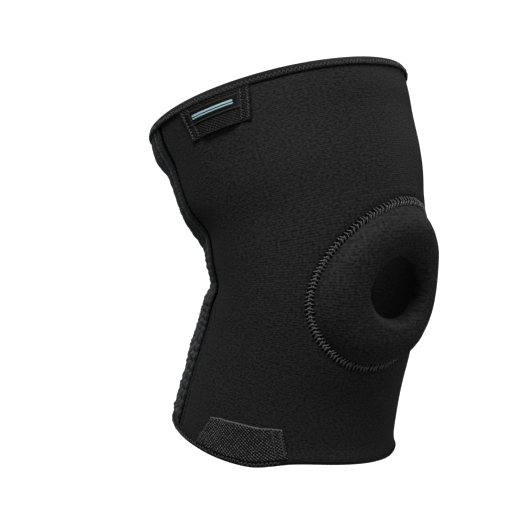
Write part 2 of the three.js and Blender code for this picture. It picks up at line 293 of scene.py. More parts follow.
def front_place(x, z):
    """The angle and the distance along the sleeve at which the face has this x and z."""
    along, angle = np.array(z, float), np.zeros_like(x)
    for _ in range(24):
        angle = np.degrees(np.arcsin(np.clip(x / section("side", along), -1, 1)))
        along = along + 0.65 * (z - face_point(angle, along)[..., 2])
    return angle, along


def pad_place(turn, share):
    """The place for a turn about the pad's middle and a share of the way from hole to seam."""
    across, up = np.cos(turn), np.sin(turn)
    hole_x, hole_z = HOLE_ASIDE + HOLE_HALF_WIDTH * across, HOLE_HEIGHT + HOLE_HALF_HEIGHT * up
    seam_x, seam_z = PAD_ASIDE + PAD_RADIUS * (across + PAD_LEAN * up), PAD_HEIGHT + PAD_RADIUS * up
    return front_place(hole_x + (seam_x - hole_x) * share, hole_z + (seam_z - hole_z) * share)


def knit_uv(angle, along):
    """Millimetres round the sleeve and along it, which the knit follows."""
    return np.stack(np.broadcast_arrays(np.radians(angle) * GIRTH_RADIUS, along), -1)


def row_length(points):
    """The length from the first point to each point."""
    steps = np.linalg.norm(np.diff(points, axis=0), axis=-1)
    return np.concatenate([[0], np.cumsum(steps)])


# The pad's joint by the turn about the pad's middle: the length of its line, and the millimetres
# that the share of the way from the hole to the joint stands for there
JOINT_TURNS = np.linspace(0, 2 * math.pi, 1441)
JOINT_LINE = face_point(*pad_place(JOINT_TURNS, 1.0))
JOINT_LENGTHS = row_length(JOINT_LINE)
JOINT_COUNT = round(JOINT_LENGTHS[-1] / JOINT_PITCH)
NEAR_JOINT = 0.05
NEAR_LINE = face_point(*pad_place(JOINT_TURNS, 1 - NEAR_JOINT))
RING_LENGTHS = np.linalg.norm(JOINT_LINE - NEAR_LINE, axis=-1) / NEAR_JOINT


def joint_phase(turn):
    """How many stitches the joint has from turn 0 to this one."""
    length = np.interp(turn % (2 * math.pi), JOINT_TURNS, JOINT_LENGTHS)
    return length / JOINT_LENGTHS[-1] * JOINT_COUNT


def joint_turn(phase):
    length = (phase % JOINT_COUNT) / JOINT_COUNT * JOINT_LENGTHS[-1]
    return np.interp(length, JOINT_LENGTHS, JOINT_TURNS)


def ring_length(turn):
    """The millimetres that the share of the way from the hole to the joint stands for."""
    return np.interp(turn % (2 * math.pi), JOINT_TURNS, RING_LENGTHS)


def joint_place(phase, distance):
    """The place at a stitch number and a distance outside the pad's joint."""
    turn = joint_turn(phase)
    return pad_place(turn, 1 + distance / ring_length(turn))


# Meshes
def grid_corners(rows, columns):
    """The row and the column of each corner of a grid's quads."""
    i, j = np.meshgrid(np.arange(rows), np.arange(columns), indexing="ij")
    at_row = np.stack([i, i + 1, i + 1, i], -1).reshape(-1, 4)
    return at_row, np.stack([j, j, j + 1, j + 1], -1).reshape(-1, 4)


def new_object(name, points, quads, uv, material):
    """An object from millimetre points, quads and each quad corner's UV in millimetres."""
    mesh = bpy.data.meshes.new(name)
    mesh.vertices.add(len(points))
    mesh.vertices.foreach_set("co", (points * MM).astype(np.float32).ravel())
    mesh.loops.add(quads.size)
    mesh.loops.foreach_set("vertex_index", quads.astype(np.int32).ravel())
    mesh.polygons.add(len(quads))
    mesh.polygons.foreach_set("loop_start", np.arange(len(quads), dtype=np.int32) * 4)
    mesh.polygons.foreach_set("use_smooth", np.ones(len(quads), bool))
    layer = mesh.uv_layers.new(name=CLOTH_MAP, do_init=False)
    layer.uv.foreach_set("vector", uv.astype(np.float32).ravel())
    mesh.update(calc_edges=True)
    mesh.materials.append(material)
    made = bpy.data.objects.new(name, mesh)
    bpy.context.scene.collection.objects.link(made)
    return made


def swept(name, points, uv, material, closed, uv_period=(0, 0)):
    """A closed section swept along stations. points has a row for each station.

    uv_period is what the UV grows by once round the stations and once round the section. An open
    sweep has flat ends, for which the section's second half lies under its first half.
    """
    stations, ring = points.shape[:2]
    uv = np.pad(uv, ((0, int(closed)), (0, 1), (0, 0)), mode="wrap")
    uv[:, -1, 1] += uv_period[1]
    if closed:
        uv[-1, :, 0] += uv_period[0]
    at_station, at_section = grid_corners(stations - 1 + int(closed), ring)
    if not closed:
        k = np.arange(ring // 2 - 1)
        cap = np.stack([k, k + 1, ring - 2 - k, ring - 1 - k], -1)
        at_station = np.concatenate([at_station, np.zeros_like(cap), np.full_like(cap, stations - 1)])
        at_section = np.concatenate([at_section, cap, cap[:, ::-1]])
    quads = (at_station % stations) * ring + at_section % ring
    flat = points.reshape(-1, 3)
    # The quads face outwards where the volume that they enclose is above zero
    a, b, c, d = (flat[quads[:, k]] for k in range(4))
    order = 1 if np.einsum("ij,ij->", a, np.cross(b, c) + np.cross(c, d)) > 0 else -1
    corner_uv = uv[at_station, at_section][:, ::order]
    return new_object(name, flat, quads[:, ::order], corner_uv, material)


def sheet_section(length, thickness, radius, steps, crowd=1, near=(), far=()):
    """How far along a sheet, and how deep in it, each point of its closed section is.

    The first half runs over the outer face and the second half back under it. Both edges are
    round. length may differ from station to station, and a crowd above 1 crowds the points at the
    sheet's start. near and far add points at falling distances from the start and from the end.
    """
    length = np.asarray(length, float)[..., None]
    turn = np.linspace(0, math.pi / 2, 5)
    inward = radius * (1 - np.cos(turn)) + 0 * length
    rounding = radius * (1 - np.sin(turn))
    near, far = np.array(near[::-1]), np.array(far)
    first = near[-1] + 2 if len(near) else radius
    last = length - (far[0] + 2 if len(far) else radius)
    middle = first + (last - first) * np.linspace(0, 1, steps) ** crowd
    flat = np.concatenate([near + 0 * length, middle, length - far], -1)
    along = np.concatenate([inward[..., :-1], flat, length - inward[..., -2::-1]], -1)
    depth = np.concatenate([rounding[:-1], np.zeros(flat.shape[-1]), rounding[-2::-1]])
    ring_along = np.concatenate([along, along[..., ::-1]], -1)
    return ring_along, np.concatenate([depth, thickness - depth[::-1]])


def same_place(angle, along):
    return angle, along


def stitches(name, start, end, height, material, radius, place=same_place):
    """Threads from start to end, in coordinates that place turns into an angle and a distance.

    height holds each thread's height off the sleeve's face at its start and at its end. A thread
    rises between its ends, which dip into the cloth.
    """
    points, sides = 8, 6
    share = np.linspace(0, 1, points)
    path = start[:, None] + (end - start)[:, None] * share[:, None]
    arch = radius * (2.2 * np.sin(math.pi * share) ** 0.6 - 1.2)
    rise = height[0][:, None] * (1 - share) + height[1][:, None] * share + arch
    angle, along = place(path[..., 0], path[..., 1])
    middle = off_face(angle, along, rise)
    tangent = unit(np.gradient(middle, axis=1))
    aside = unit(np.cross(tangent, face_normal(angle, along)))
    upright = np.cross(aside, tangent)
    turn = 2 * math.pi * np.arange(sides)[:, None] / sides
    thick = radius * (0.5 + 0.5 * np.sin(math.pi * share) ** 0.5)
    ring = aside[:, :, None] * np.cos(turn) + upright[:, :, None] * np.sin(turn)
    vertices = middle[:, :, None] + ring * thick[:, None, None]
    at_side, at_point = grid_corners(sides, points - 1)
    cap = np.array([[0, 3, 2, 1], [0, 5, 4, 3]])
    wall = at_point * sides + at_side % sides
    one = np.concatenate([wall, cap, cap[:, ::-1] + (points - 1) * sides])
    quads = (np.arange(len(start))[:, None, None] * points * sides + one).reshape(-1, 4)
    along_thread = np.concatenate([at_point / points, np.zeros((4, 4))])
    round_thread = np.concatenate([at_side / sides, np.zeros((4, 4))])
    uv = np.tile(np.stack([along_thread, round_thread], -1), (len(start), 1, 1))
    return new_object(name, vertices.reshape(-1, 3), quads, uv, material)


def zigzag(first, second):
    """Starts and ends of the threads that run by turns between two rows of needle holes."""
    holes = np.stack([first, second], 1).reshape(-1, 2)
    return holes[:-1], holes[1:]


# Materials
def set_inputs(node, values):
    for name, value in values.items():
        node.inputs[name].default_value = value


class Cloth:
    """A fabric's material, whose nodes are written as formulas over the cloth's millimetres."""

    def __init__(self, name, roughness, specular, sheen):
        self.material = bpy.data.materials.new(name)
        self.material.use_nodes = True
        self.nodes = self.material.node_tree.nodes
        self.links = self.material.node_tree.links
        self.shader = self.nodes["Principled BSDF"]
        set_inputs(self.shader, {"Roughness": roughness, "Specular IOR Level": specular})
        set_inputs(self.shader, {"Sheen Weight": sheen, "Sheen Roughness": 0.5})
        uv_map = self.nodes.new("ShaderNodeUVMap")
        uv_map.uv_map = CLOTH_MAP
        self.uv = uv_map.outputs["UV"]
        parts = self.nodes.new("ShaderNodeSeparateXYZ")
        self.links.new(self.uv, parts.inputs["Vector"])
        self.x, self.y = parts.outputs["X"], parts.outputs["Y"]

    def put(self, socket, value):
        if isinstance(value, (int, float, tuple)):
            socket.default_value = value
        else:
            self.links.new(value, socket)

    def math(self, operation, a, b=0.0, c=0.0):
        node = self.nodes.new("ShaderNodeMath")
        node.operation = operation
        for socket, value in zip(node.inputs, (a, b, c)):
            self.put(socket, value)
        return node.outputs["Value"]

    def add(self, a, b):
        return self.math("ADD", a, b)

    def times(self, a, b):
        return self.math("MULTIPLY", a, b)

    def wave(self, value, pitch):
        """A wave from 0 to 1 with this pitch in millimetres."""
        sine = self.math("SINE", self.times(value, 2 * math.pi / pitch))
        return self.math("MULTIPLY_ADD", sine, 0.5, 0.5)

    def noise(self, size, across=1.0, detail=2.0):
        """Noise from 0 to 1 with spots of this size, stretched across the cloth by a factor."""
        stretch = self.nodes.new("ShaderNodeMapping")
        stretch.inputs["Scale"].default_value = (1 / (size * across), 1 / size, 1)
        self.links.new(self.uv, stretch.inputs["Vector"])
        node = self.nodes.new("ShaderNodeTexNoise")
        set_inputs(node, {"Scale": 1, "Detail": detail})
        self.links.new(stretch.outputs["Vector"], node.inputs["Vector"])
        return node.outputs["Fac"]

    def spread(self, value, low, high, to_low=0.0, to_high=1.0):
        """The value's range from low to high spread over another range, and kept inside it."""
        node = self.nodes.new("ShaderNodeMapRange")
        set_inputs(node, {"From Min": low, "From Max": high, "To Min": to_low, "To Max": to_high})
        self.put(node.inputs["Value"], value)
        return node.outputs["Result"]

    def mix(self, share, first, second):
        node = self.nodes.new("ShaderNodeMix")
        node.data_type = "RGBA"
        self.put(node.inputs["Factor"], share)
        self.put(node.inputs["A"], first)
        self.put(node.inputs["B"], second)
        return node.outputs["Result"]

    def finish(self, color, height, relief):
        """Sets the colour and the bump, whose height from 0 to 1 stands for relief millimetres."""
        self.put(self.shader.inputs["Base Color"], color)
        bump = self.nodes.new("ShaderNodeBump")
        bump.inputs["Distance"].default_value = relief * MM
        self.put(bump.inputs["Height"], height)
        self.links.new(bump.outputs["Normal"], self.shader.inputs["Normal"])
        return self.material


def grey(level, tint=(1.0, 1.0, 1.0)):
    return (level * tint[0], level * tint[1], level * tint[2], 1.0)


def knit_material(name, dark, light, course, relief, sheen):
    """A fine stretched knit: courses of loops round the sleeve, crossed by faint columns."""
    cloth = Cloth(name, roughness=0.7, specular=0.08, sheen=sheen)
    wander = cloth.times(cloth.noise(9.0), 1.6)
    courses = cloth.wave(cloth.add(cloth.y, wander), course)
    columns = cloth.wave(cloth.add(cloth.x, cloth.times(cloth.y, 0.12)), course * 1.2)
    loops = cloth.add(cloth.times(courses, 0.85), cloth.times(cloth.times(courses, columns), 0.15))
    fibre = cloth.spread(cloth.noise(1.35, across=1.35, detail=2.0), 0.35, 0.65)
    patches = cloth.spread(cloth.noise(7.0, across=1.6, detail=3.0), 0.25, 0.75)
    shown = cloth.times(loops, cloth.add(0.4, cloth.times(patches, 0.5)))
    share = cloth.add(cloth.times(shown, 0.31), cloth.times(fibre, 0.55))
    color = cloth.mix(cloth.add(share, 0.04), dark, light)
    height = cloth.add(shown, cloth.times(fibre, 0.9))
    return cloth.finish(color, height, relief)


def gather_material(name):
    """Ribbed elastic: ribs along the sleeve, with fine crinkles, a painted bluish highlight on the
    crests of the gathers and painted shade along the seams' grooves.
    """
    cloth = Cloth(name, roughness=0.55, specular=0.16, sheen=0.03)
    # painted highlight: lighter, bluish colour on the crests of the panel's lengthwise ridging
    ridge_highlight = cloth.spread(cloth.wave(cloth.x, RIDGE_PITCH), 0.45, 1.0)
    ribs = cloth.wave(cloth.add(cloth.x, cloth.times(cloth.noise(8.0), 1.2)), 1.5)
    crinkles = cloth.spread(cloth.noise(1.3, across=1.4, detail=3.0), 0.35, 0.65)
    share = cloth.add(cloth.times(ribs, 0.4), cloth.times(crinkles, 0.4))
    share = cloth.times(share, cloth.add(0.35, cloth.times(ridge_highlight, 0.85)))
    # painted shade in the seams' grooves: the colour is darkest within 1.4 mm of a seam and clears by 3
    # mm
    share = cloth.times(share, cloth.spread(cloth.x, 1.4, 3.0))
    color = cloth.mix(share, grey(0.001, (0.9, 1.0, 1.05)), grey(0.09, (0.9, 1.0, 1.06)))
    height = cloth.add(cloth.times(ribs, 0.7), cloth.times(crinkles, 0.8))
    return cloth.finish(color, height, 0.45)


def tape_material(name, tint):
    """Folded elastic tape: fine threads across the tape, closely packed."""
    cloth = Cloth(name, roughness=0.5, specular=0.12, sheen=0.02)
    weft = cloth.wave(cloth.add(cloth.x, cloth.times(cloth.y, 0.35)), 0.85)
    fibre = cloth.noise(0.8)
    share = cloth.add(cloth.times(weft, 0.5), cloth.times(fibre, 0.5))
    color = cloth.mix(share, grey(0.001, tint), grey(0.007, tint))
    return cloth.finish(color, cloth.add(weft, fibre), 0.25)


def twill_material(name, dark, light, pitch, relief, highlit_edge):
    """Twill webbing: slanted rows of floats, with painted highlights where they catch the light and a
    painted highlight along the free edge.
    """
    cloth = Cloth(name, roughness=0.6, specular=0.1, sheen=0.02)
    slant = cloth.add(cloth.times(cloth.x, 0.55), cloth.times(cloth.y, 0.84))
    cross = cloth.add(cloth.times(cloth.x, -0.84), cloth.times(cloth.y, 0.55))
    wander = cloth.times(cloth.noise(5.0), 0.9)
    rows = cloth.spread(cloth.wave(cloth.add(slant, wander), pitch), 0.3, 0.9)
    floats = cloth.spread(cloth.wave(cloth.add(cross, wander), pitch * 1.3), 0.1, 0.8)
    speck = cloth.spread(cloth.noise(1.0, detail=1.0), 0.4, 0.6)
    height = cloth.times(rows, cloth.add(0.2, cloth.times(floats, 0.8)))
    # painted highlights: the colour follows the floats' height and is lightest on the raised floats
    share = cloth.times(height, cloth.add(0.15, cloth.times(speck, 0.85)))
    # painted highlight along the tab's free edge
    down = cloth.math("ABSOLUTE", cloth.y)
    edge = cloth.times(cloth.spread(down, highlit_edge - 0.9, highlit_edge - 0.5), 0.5)
    return cloth.finish(cloth.mix(cloth.math("MAXIMUM", share, edge), dark, light), height, relief)


def label_material(name):
    """A smooth woven label with a pale double stripe between two thin border threads."""
    cloth = Cloth(name, roughness=0.42, specular=0.12, sheen=0.01)
    weft = cloth.wave(cloth.y, 0.5)
    satin = cloth.times(weft, cloth.noise(1.5, across=3.0))
    base = cloth.mix(satin, grey(0.001), grey(0.005, (0.8, 0.95, 1.1)))

    def band(middle, half, soft):
        """1 within half a width of a height on the label, 0 away from it."""
        away = cloth.math("ABSOLUTE", cloth.math("SUBTRACT", cloth.y, middle))
        return cloth.spread(away, half + soft, half)

    inside = cloth.spread(cloth.math("ABSOLUTE", cloth.x), 16.6, 16.2)
    stripes = cloth.math("MAXIMUM", band(0.9, 0.55, 0.15), band(-0.9, 0.3, 0.15))
    stripe = cloth.times(stripes, inside)
    border = cloth.math("MAXIMUM", band(4.2, 0.16, 0.1), band(-4.2, 0.16, 0.1))
    blue, pale = grey(0.1, (0.45, 0.9, 1.2)), grey(0.62, (0.62, 0.93, 1.0))
    woven = cloth.mix(cloth.add(0.55, cloth.times(weft, 0.4)), blue, pale)
    edged = cloth.mix(cloth.times(border, 0.7), base, grey(0.05, (1.1, 0.95, 0.8)))
    return cloth.finish(cloth.mix(stripe, edged, woven), cloth.add(weft, stripe), 0.12)


def thread_material(name, level, tint=(1.0, 1.0, 1.0), specular=0.3):
    """Polyester thread, whose twist shows as slanted lines."""
    cloth = Cloth(name, roughness=0.38, specular=specular, sheen=0)
    twist = cloth.wave(cloth.add(cloth.x, cloth.times(cloth.y, 0.25)), 0.25)
    color = cloth.mix(twist, grey(level * 0.55, tint), grey(level, tint))
    return cloth.finish(color, twist, 0.1)


body_knit = knit_material("neoprene_knit", grey(0.001), grey(0.024), course=1.3, relief=0.13, sheen=0.02)
pad_knit = knit_material("pad_knit", grey(0.001), grey(0.026), course=1.25, relief=0.15, sheen=0.02)
ribbed_elastic = gather_material("ribbed_elastic")
binding_tape = tape_material("binding_tape", (1.0, 1.0, 1.03))
upper_webbing = twill_material(
    "upper_webbing", grey(0.001), grey(0.032), pitch=1.6, relief=0.4, highlit_edge=UPPER_TAB["height"]
)
lower_webbing = twill_material(
    "lower_webbing", grey(0.0015), grey(0.15), pitch=1.4, relief=0.45, highlit_edge=LOWER_TAB["height"]
)
label_weave = label_material("label_weave")
joint_thread = thread_material("joint_thread", 0.1)
hem_thread = thread_material("hem_thread", 0.055, (0.95, 1.0, 1.04), specular=0.15)
# painted shade: black, dull thread that stands for the shade in the seams' grooves and between the
# joint's arms
shade_thread = thread_material("shade_thread", 0.001, specular=0.02)
webbing_thread = thread_material("webbing_thread", 0.06)


def dress(piece, slot, *nodes):
    """Puts a piece on the body in place of the nodes, which are hidden; slot is not used."""
    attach(piece, "root")
    if nodes:
        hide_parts(*nodes)


# Distances from the edges of the body and the back panel at which they have extra points, and
# turns about the pad's middle at which the body's corners lie
EDGE_ROWS = (12, 9.8, 7.9, 6.3, 5, 4, 3.2, 2.5, 1.9)
CORNER_TURNS = (-38.5, 41.7, 138.3, 218.5, 321.5)


# The neoprene body
def joint_dip(distance, turn):
    """How far the stitches pull the cloth down at a distance from the pad's joint."""
    slant = JOINT_SLANT * (1 - distance / JOINT_REACH)
    between = np.cos(2 * math.pi * (joint_phase(turn)[:, None] - slant - 0.5))
    holes = JOINT_HOLE * bell(distance - 0.6 * JOINT_REACH, 1.0) * np.maximum(between, 0)
    return 0.35 * bell(distance, 2.2) + holes


def border_stations(side, cap):
    """Turns, angles and distances of the rays that run from the pad's joint to the border."""
    rising, flat = np.arange(side) / side, np.arange(cap) / cap
    share = np.concatenate([rising, np.ones(cap), 1 - rising, np.zeros(cap)])
    across = np.concatenate([np.ones(side), 1 - 2 * flat, -np.ones(side), 2 * flat - 1])
    corners = np.cumsum([0, side, cap, side, cap])
    turns = np.interp(np.arange(2 * (side + cap)), corners, CORNER_TURNS)
    angle = across * seam_angle(share)
    return np.radians(turns), angle, between_edges(angle, share)


def turned_under(angle):
    """How far the bottom edge is rolled under: 1 over the front, 0 past its sides."""
    return smoothstep(*HEM_TURN_OUTER, angle) * smoothstep(*HEM_TURN_INNER, angle)


def bottom_roll(angle, inset):
    """How far the rolled bottom edge bulges at a distance inside the edge."""
    return HEM_BULGE * bell(inset - 2.5, 5.0) * turned_under(angle)


def seam_groove(distance):
    """The depth of the groove that the back panel's seams draw in."""
    return SEAM_DEPTH * bell(distance, 1.2) - 0.3 * bell(distance - 3.6, 1.4)


def body_relief(angle, along):
    """Slow unevenness of the stretched neoprene."""
    x, y = np.radians(angle) * GIRTH_RADIUS, along
    return 0.45 * noise(x / 46, y / 38, 3) + 0.16 * noise(x / 17 + 9, y / 14, 4)


def neoprene_shell():
    turn, border_angle, border_along = border_stations(side=130, cap=170)
    joint_angle, joint_along = pad_place(turn, 1 + JOINT_GAP / PAD_RING)
    across = np.radians(border_angle - joint_angle) * GIRTH_RADIUS
    length = np.hypot(across, border_along - joint_along)
    distance, depth = sheet_section(length, WALL, 1.2, steps=46, crowd=1.3, far=EDGE_ROWS)
    share = distance / length[:, None]
    angle = joint_angle[:, None] + (border_angle - joint_angle)[:, None] * share
    along = joint_along[:, None] + (border_along - joint_along)[:, None] * share
    from_seam = np.radians(seam_angle(0.5) - np.abs(angle)) * GIRTH_RADIUS
    relief = body_relief(angle, along) - joint_dip(distance, turn) - seam_groove(from_seam)
    height = relief * (1 - depth / WALL) - depth
    height = height + bottom_roll(angle, along - edge_along(-1, angle))
    points = off_face(angle, along, height)
    shell = swept("neoprene_shell", points, knit_uv(angle, along), body_knit, True)
    dress(shell, "neoprene_knit", "neoprene_body")


# The stuffed ring round the kneecap
def pad_profile(share, turn):
    """The heights of the pad's outer and inner face off the sleeve's face.

    The outer face falls from its crest to the seam's flat hem, and the other way it sinks like a
    funnel to the rolled lip of the hole. It falls more steeply low on the inner side, and the
    funnel is deeper above the hole.
    """
    lip, crest, hem = LIP_WIDTH / PAD_RING, PAD_CREST / PAD_RING, 1 - PAD_HEM / PAD_RING
    rolled = np.sqrt(1 - np.clip(1 - share / lip, 0, 1) ** 2)
    low, high = (-WALL - LIP_EDGE) / 2, (-WALL + LIP_EDGE) / 2
    degrees = np.degrees(turn)
    steep = 2.6 + 2.2 * bell(wrapped(degrees + 50), 40)
    deep = PAD_FUNNEL * (1 + 0.9 * bell(wrapped(degrees - 80), 50))
    falling = PAD_RISE * (1 - np.clip((share - crest) / (hem - crest), 0, 1) ** steep) ** 1.15
    funnel = falling - deep * np.clip(1 - share / crest, 0, 1) ** 1.8
    outer = high + (funnel - high) * rolled
    inner = low - (WALL + low) * rolled
    return outer, inner


def spread_over(coarse, step, axis):
    """Values at every step-th point round a closed row, spread smoothly over all its points."""
    fine = np.repeat(coarse, step, axis)
    for _ in range(3):
        fine = sum(np.roll(fine, k - step // 2, axis) for k in range(step)) / step
    return fine


def stuffed(points, loose):
    """The pad's swept points after stuffing has pushed out the cloth between its joint and lip.

    The cloth that is simulated has only some of the points. It is held where loose is 0, and its
    movement is capped and spread over all the points.
    """
    around, over = STITCH_STATIONS, 3
    start = points[::around, ::over]
    stations, ring = start.shape[:2]
    at_station, at_section = grid_corners(stations, ring)
    quads = (at_station % stations) * ring + at_section % ring
    cloth = new_object("pad_cloth", start.reshape(-1, 3), quads, np.zeros((len(quads), 4, 2)), pad_knit)
    held = cloth.vertex_groups.new(name="held")
    for index, weight in enumerate(1 - loose[::around, ::over].ravel()):
        held.add([index], float(weight), "REPLACE")
    modifier = cloth.modifiers.new("stuffing", "CLOTH")
    modifier.settings.vertex_group_mass = held.name
    modifier.settings.use_pressure = True
    modifier.settings.uniform_pressure_force = STUFFING_PRESSURE
    modifier.settings.effector_weights.gravity = 0
    for number in range(1, STUFFING_FRAMES + 1):
        bpy.context.scene.frame_set(number)
    moved = cloth.evaluated_get(bpy.context.evaluated_depsgraph_get()).data
    ends = np.empty(start.size, np.float32)
    moved.vertices.foreach_get("co", ends)
    movement = ends.reshape(start.shape) / MM - start
    size = np.linalg.norm(movement, axis=-1, keepdims=True)
    movement = movement * np.minimum(1, STUFFING_CAP / np.maximum(size, 1e-9))
    bpy.context.scene.frame_set(1)
    bpy.data.objects.remove(cloth)
    return points + spread_over(spread_over(movement, around, 0), over, 1)


def kneecap_cushion():
    turn = joint_turn(np.arange(STITCH_STATIONS * JOINT_COUNT) / STITCH_STATIONS)
    lip = LIP_WIDTH / PAD_RING
    quarter = lip * (1 - np.cos(np.linspace(0.02, 1, 22) * math.pi / 2))
    dome = np.linspace(lip, 1 - 1 / PAD_RING, 46)[1:]
    rounding = np.linspace(0, 1, 6)[1:] * math.pi / 2
    joint, joint_drop = 1 - (1 - np.sin(rounding)) / PAD_RING, 1 - np.cos(rounding)
    share = np.concatenate([quarter, dome, joint])
    drop = np.concatenate([np.zeros(len(quarter) + len(dome)), joint_drop])
    share, turns = np.broadcast_arrays(share, turn[:, None])
    outer, inner = pad_profile(share, turns)
    angle, along = pad_place(turns, share)
    distance = (1 - share) * ring_length(turns)
    x, y = np.radians(angle) * GIRTH_RADIUS, along
    fullness = smoothstep(0, 1, outer / PAD_RISE)
    soft = fullness * (0.5 * noise(x / 19 + 3, y / 19, 6) + 0.25 * noise(x / 8, y / 8 + 5, 7))
    relief = soft - joint_dip(distance, turn)
    outer_points = off_face(angle, along, outer + relief - drop)
    inner_points = off_face(angle, along, inner + drop)
    points = np.concatenate([outer_points, inner_points[:, ::-1]], 1)
    loose = smoothstep(1.5 * lip, 3 * lip, share) * smoothstep(JOINT_REACH, 3 * JOINT_REACH, distance)
    points = stuffed(points, np.concatenate([loose, np.zeros_like(loose)], 1))
    uv = knit_uv(angle, along)
    cushion = swept("kneecap_cushion", points, np.concatenate([uv, uv[:, ::-1]], 1), pad_knit, True)
    dress(cushion, "pad_knit", "kneecap_pad")


def joint_stitches():
    """The herringbone over the pad's joint: slanted arms that overlap on its middle line."""
    draws = np.random.default_rng(51)
    for side_name, side, height in (("outer", 1, 0.05), ("inner", -1, 0.3)):
        number = np.arange(JOINT_COUNT) + draws.uniform(-0.18, 0.18, JOINT_COUNT)
        reach = side * JOINT_REACH * draws.uniform(0.8, 1.06, JOINT_COUNT)
        far = np.stack([number, reach], -1)
        near = np.stack([number + JOINT_SLANT, np.full(JOINT_COUNT, -side * JOINT_OVERLAP)], -1)
        ends = height + draws.uniform(-0.15, 0.1, JOINT_COUNT), np.full(JOINT_COUNT, 0.5)
        name = f"joint_stitches_{side_name}"
        made = stitches(name, far, near, ends, joint_thread, JOINT_THREAD, joint_place)
        dress(made, "pad_knit")


def joint_shade_threads():
    """Black rows of thread under the herringbone, which stand for the shade that shows between its arms:
    painted shade.
    """
    number = np.arange(JOINT_COUNT)
    rows = [np.stack([number, np.full(JOINT_COUNT, row)], -1) for row in JOINT_SHADE_ROWS]
    start = np.concatenate(rows)
    level = np.full(len(start), -2 * JOINT_SHADE_RADIUS)
    ends = level, level
    name = "joint_shade_threads"
    made = stitches(name, start, start + (1, 0), ends, shade_thread, JOINT_SHADE_RADIUS, joint_place)
    dress(made, "pad_knit")


# The gathered panel behind the knee
def gathers(angle, along, share):
    """The height of the crests between the elastic's rows."""
    count = round((CALF_LENGTH + THIGH_LENGTH - 2 * SEAM_MARGIN) / RIB_PITCH)
    phase = share * count
    phase = phase + 0.3 * noise(angle / 13, phase * 0.4, 11) + 0.1 * noise(angle / 4, phase, 12)
    crest = np.abs(np.sin(math.pi * phase)) ** 0.8
    size = 1 + 0.3 * noise(angle / 9, phase * 0.55, 13)
    inset = np.minimum(along - between_edges(angle, 0), between_edges(angle, 1) - along)
    fade = smoothstep(0.4 * SEAM_MARGIN, SEAM_MARGIN, inset)
    crinkle = 0.22 * noise(angle / 2.2, along / 1.7, 14)
    stretched = 1 - 0.6 * smoothstep(-15, 15, along)
    return (RIB_HEIGHT * fade * size * stretched * crest + crinkle) * section("rib", along)


def gathered_panel():
    share = np.linspace(0, 1, 340)
    gap = math.degrees(PANEL_GAP / GIRTH_RADIUS)
    half = 180 - seam_angle(share) - gap
    width = np.radians(2 * half) * GIRTH_RADIUS
    across, depth = sheet_section(width, WALL, 1.5, steps=84, near=EDGE_ROWS, far=EDGE_ROWS)
    angle = 180 - half[:, None] + across / width[:, None] * 2 * half[:, None]
    along = between_edges(angle, share[:, None])
    from_seam = np.minimum(across, width[:, None] - across)
    relief = gathers(angle, along, share[:, None]) * (0.45 + 0.55 * smoothstep(0, 8, from_seam))
    stretched = smoothstep(0.35, 0.62, share[:, None]) * 0.7 + 0.3
    relief = relief + RIDGE_HEIGHT * stretched * np.sin(2 * math.pi * from_seam / RIDGE_PITCH)
    relief = relief - seam_groove(from_seam)
    height = relief * (1 - depth / WALL) - depth
    uv = np.stack([from_seam, along], -1)
    panel = swept("gathered_panel", off_face(angle, along, height), uv, ribbed_elastic, False)
    dress(panel, "ribbed_elastic", "back_panel")


def seam_groove_shade():
    """The black chain of thread that lies in the grooves of the back panel's seams. It is part thread
    and part painted shade: black and dull, it stands for the shade in the grooves.
    """
    share = np.linspace(0.005, 0.995, round((CALF_LENGTH + THIGH_LENGTH) / SEAM_PITCH))
    level = np.full(len(share) - 1, -0.8)
    ends = level, level
    for side_name, side in (("outer", -1), ("inner", 1)):
        seam = side * seam_angle(share)
        chain = np.stack([seam, between_edges(seam, share)], -1)
        name = f"shade_thread_{side_name}"
        made = stitches(name, chain[:-1], chain[1:], ends, shade_thread, SEAM_SHADE_RADIUS)
        dress(made, "ribbed_elastic")


# The bindings
def hem_angles(end):
    """Angles evenly spaced round an edge, two for each of its stitches, and the edge's length."""
    angle = np.linspace(-180, 180, 2000)
    girth = row_length(face_point(angle, edge_along(end, angle)))
    number = 2 * round(girth[-1] / HEM_PITCH)
    return np.interp(np.arange(number) / number * girth[-1], girth, angle), girth[-1]


def folded_tape(name, end, height, node):
    """A tape folded over an edge. height gives how far its two flaps reach down at an angle."""
    angle, girth = hem_angles(end)
    number = np.arange(len(angle))[:, None]
    flap = height(angle) - WALL / 2
    middle = (WALL + 2 * CLEARANCE + BINDING_THICKNESS) / 2
    arc = math.pi * middle
    distance, depth = sheet_section(2 * flap + arc, BINDING_THICKNESS, 0.5, steps=32)
    flap = flap[:, None]
    turn = np.clip((distance - flap) / middle, 0, math.pi)
    down = np.where(distance < flap, flap - distance, np.maximum(distance - flap - arc, 0))
    edge = edge_along(end, angle)
    round_edge = number / len(angle) * girth
    pulled = 0.25 * np.cos(math.pi * number) * bell(down - flap * 0.75, flap * 0.4)
    pulled = pulled + 0.35 * bell(down - flap * 0.3, 0.7)
    outside = 1 - depth / BINDING_THICKNESS
    reach = middle + BINDING_THICKNESS / 2 - depth - pulled * outside
    reach = reach + 0.25 * noise(round_edge / 21, distance / 9, 21 + end)
    off = reach * np.cos(turn) - WALL / 2
    past = reach * np.sin(turn) - WALL / 2 - down
    at = np.broadcast_to(angle[:, None], off.shape)
    if end < 0:
        off = off + bottom_roll(at, -past)
    points = off_face(at, edge[:, None] + end * past, off)
    uv = np.stack([np.broadcast_to(round_edge, off.shape), distance], -1)
    tape = swept(name, points, uv, binding_tape, True, uv_period=(girth, 0))
    dress(tape, "binding_tape", node)


